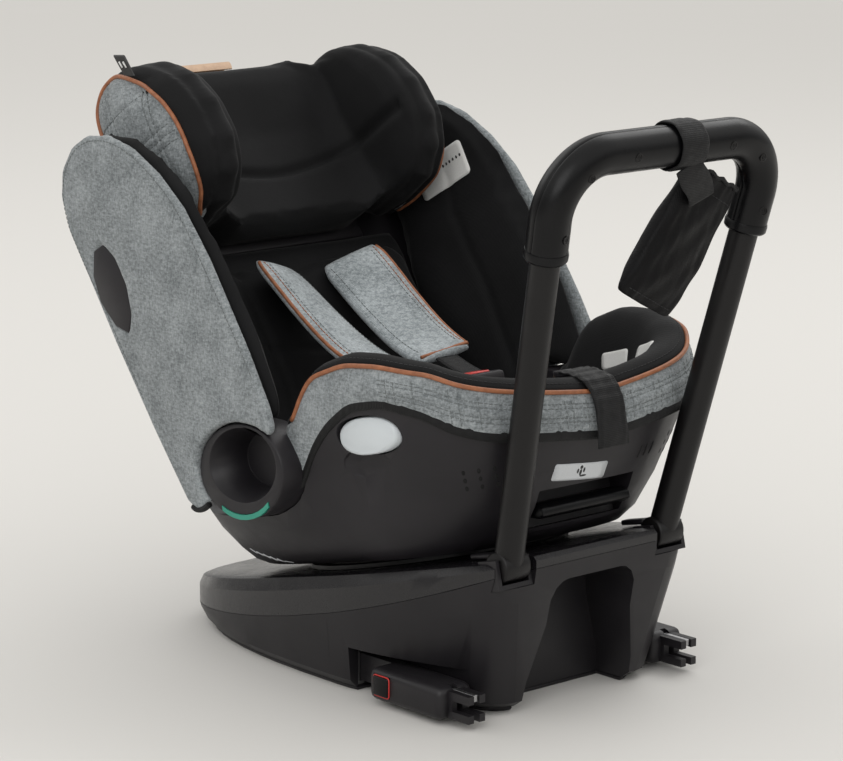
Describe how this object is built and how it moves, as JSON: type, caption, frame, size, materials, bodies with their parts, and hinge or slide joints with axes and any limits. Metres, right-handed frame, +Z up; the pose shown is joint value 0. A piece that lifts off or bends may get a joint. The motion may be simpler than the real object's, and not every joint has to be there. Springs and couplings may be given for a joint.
{
  "type": "convertible car seat",
  "caption": "Rotating child car seat on a tilted ISOFIX base, with a reclining padded bucket shell, sliding winged headrest and folding rebound bar.",
  "frame": {"origin": "on the floor under the middle of the turntable, on the base sole's underside", "axes": "+Z up; the child faces -Y towards the rebound bar and the ISOFIX arms; the base's nose points to +Y; +X is across, towards the child's left"},
  "size_m": [0.451, 0.712, 0.5912],
  "materials": {
    "base_plastic": "matte moulded",
    "deck_plastic": "satin gloss",
    "shell_plastic": "matte moulded",
    "bar_plastic": "semi-gloss",
    "black_steel": "black powder coat",
    "steel": "zinc plated",
    "grey_fabric": "heather weave",
    "black_fabric": "fine knit",
    "webbing": "woven nylon",
    "button_grey": "satin",
    "button_red": "satin",
    "marker_teal": "satin",
    "accent_leather": "piping and tabs"
  },
  "bodies": {
    "base": {"base_sole": "base_plastic", "base_housing": "base_plastic", "base_deck": "deck_plastic", "turntable_outer_race": "black_steel", "isofix_guide_left": "steel", "isofix_guide_right": "steel", "rebound_socket_left": "base_plastic", "rebound_socket_right": "base_plastic"},
    "isofix_arm_left": {"isofix_arm_left": "base_plastic"},
    "isofix_jaw_left": {"isofix_jaw_left": "steel"},
    "isofix_button_left": {"isofix_button_left": "button_red"},
    "isofix_arm_right": {"isofix_arm_right": "base_plastic"},
    "isofix_jaw_right": {"isofix_jaw_right": "steel"},
    "isofix_button_right": {"isofix_button_right": "button_red"},
    "rebound_bar": {"rebound_tube": "black_steel", "rebound_shroud_outer": "bar_plastic", "rebound_shroud_inner": "bar_plastic", "pouch_loop": "webbing", "storage_pouch": "webbing"},
    "rebound_latch_left": {"rebound_latch_left": "base_plastic"},
    "rebound_latch_right": {"rebound_latch_right": "base_plastic"},
    "turntable": {"turntable_plate": "black_steel", "recline_cradle": "black_steel"},
    "rotation_lock": {"rotation_lock_pin": "steel"},
    "seat": {"seat_shell": "shell_plastic", "back_shell": "shell_plastic", "rocker_rail_left": "steel", "rocker_rail_right": "steel", "belt_guide_left": "shell_plastic", "belt_guide_right": "shell_plastic", "belt_marker_left": "marker_teal", "belt_marker_right": "marker_teal", "side_cover_left": "grey_fabric", "side_cover_right": "grey_fabric", "wing_pad_left": "black_fabric", "wing_pad_right": "black_fabric", "back_cushion": "black_fabric", "seat_cushion": "black_fabric", "seat_rim": "grey_fabric", "shoulder_pad_left": "grey_fabric", "shoulder_pad_right": "grey_fabric", "shoulder_strap_left": "webbing", "shoulder_strap_right": "webbing", "buckle_body": "shell_plastic", "crotch_pad": "black_fabric", "adjuster_flap": "webbing"},
    "rotation_button_left": {"rotation_button_left": "button_grey"},
    "side_pod_left": {"side_pod_left": "shell_plastic"},
    "rotation_button_right": {"rotation_button_right": "button_grey"},
    "side_pod_right": {"side_pod_right": "shell_plastic"},
    "recline_handle": {"recline_handle": "bar_plastic"},
    "buckle_button": {"buckle_button": "button_red"},
    "harness_adjuster": {"harness_adjuster_button": "shell_plastic"},
    "headrest": {"headrest_shell": "shell_plastic", "headrest_rod_left": "steel", "headrest_rod_right": "steel", "headrest_cushion": "black_fabric", "headrest_wing_left": "grey_fabric", "headrest_wing_right": "grey_fabric"},
    "headrest_handle": {"headrest_handle": "accent_leather"}
  },
  "joints": [
    {"name": "isofix_left_slide", "type": "slide", "parent": "base", "child": "isofix_arm_left", "axis": [0, -1, 0], "range_m": [0, 0.1]},
    {"name": "isofix_left_jaw_turn", "type": "hinge", "parent": "isofix_arm_left", "child": "isofix_jaw_left", "pos_m": [-0.1415, -0.1785, 0.0305], "axis": [1, 0, 0], "range_deg": [0, 40]},
    {"name": "isofix_left_release_press", "type": "slide", "parent": "isofix_arm_left", "child": "isofix_button_left", "axis": [1, 0, 0], "range_m": [0, 0.0035], "stiffness_N_per_m": 400},
    {"name": "isofix_right_slide", "type": "slide", "parent": "base", "child": "isofix_arm_right", "axis": [0, -1, 0], "range_m": [0, 0.1]},
    {"name": "isofix_right_jaw_turn", "type": "hinge", "parent": "isofix_arm_right", "child": "isofix_jaw_right", "pos_m": [0.1415, -0.1785, 0.0305], "axis": [1, 0, 0], "range_deg": [0, 40]},
    {"name": "isofix_right_release_press", "type": "slide", "parent": "isofix_arm_right", "child": "isofix_button_right", "axis": [-1, 0, 0], "range_m": [0, 0.0035], "stiffness_N_per_m": 400},
    {"name": "rebound_bar_fold", "type": "hinge", "parent": "base", "child": "rebound_bar", "pos_m": [0, -0.20694, 0.15162], "axis": [1, 0, 0], "range_deg": [0, 60]},
    {"name": "rebound_left_latch_lift", "type": "hinge", "parent": "base", "child": "rebound_latch_left", "pos_m": [-0.1, -0.16268, 0.15218], "axis": [-1, 0, 0], "range_deg": [0, 12], "stiffness_Nm_per_rad": 0.3},
    {"name": "rebound_right_latch_lift", "type": "hinge", "parent": "base", "child": "rebound_latch_right", "pos_m": [0.1, -0.16268, 0.15218], "axis": [-1, 0, 0], "range_deg": [0, 12], "stiffness_Nm_per_rad": 0.3},
    {"name": "seat_rotation", "type": "hinge", "parent": "base", "child": "turntable", "pos_m": [0, 0, 0.11], "axis": [0, 0.225, 0.9744], "continuous": true},
    {"name": "rotation_lock_lift", "type": "slide", "parent": "turntable", "child": "rotation_lock", "axis": [0, 0.225, 0.9744], "range_m": [0, 0.0065]},
    {"name": "seat_recline", "type": "hinge", "parent": "turntable", "child": "seat", "pos_m": [0, 0.20053, 0.42291], "axis": [-1, 0, 0], "range_deg": [0, 14]},
    {"name": "rotation_left_button_press", "type": "slide", "parent": "seat", "child": "rotation_button_left", "axis": [1, 0, 0], "range_m": [0, 0.007], "stiffness_N_per_m": 600},
    {"name": "side_left_pod_open", "type": "hinge", "parent": "seat", "child": "side_pod_left", "pos_m": [-0.2225, 0.25494, 0.3515], "axis": [0, -0.585, -0.8111], "range_deg": [0, 30]},
    {"name": "rotation_right_button_press", "type": "slide", "parent": "seat", "child": "rotation_button_right", "axis": [-1, 0, 0], "range_m": [0, 0.007], "stiffness_N_per_m": 600},
    {"name": "side_right_pod_open", "type": "hinge", "parent": "seat", "child": "side_pod_right", "pos_m": [0.2225, 0.25494, 0.3515], "axis": [0, 0.585, 0.8111], "range_deg": [0, 30]},
    {"name": "recline_handle_pull", "type": "hinge", "parent": "seat", "child": "recline_handle", "pos_m": [0, -0.18295, 0.19329], "axis": [-1, 0, 0], "range_deg": [0, 14], "stiffness_Nm_per_rad": 0.8},
    {"name": "buckle_button_press", "type": "slide", "parent": "seat", "child": "buckle_button", "axis": [0, -0.225, -0.9744], "range_m": [0, 0.003], "stiffness_N_per_m": 500},
    {"name": "harness_adjuster_press", "type": "slide", "parent": "seat", "child": "harness_adjuster", "axis": [0, -0.225, -0.9744], "range_m": [0, 0.003], "stiffness_N_per_m": 500},
    {"name": "headrest_slide", "type": "slide", "parent": "seat", "child": "headrest", "axis": [0, 0.585, 0.8111], "range_m": [0, 0.2]},
    {"name": "headrest_handle_squeeze", "type": "hinge", "parent": "headrest", "child": "headrest_handle", "pos_m": [0, 0.36858, 0.53216], "axis": [1, 0, 0], "range_deg": [0, 20], "stiffness_Nm_per_rad": 0.3}
  ],
  "couplings": [
    {"joint": "rotation_lock_lift", "follows": "rotation_left_button_press", "ratio": 0.9}
  ]
}
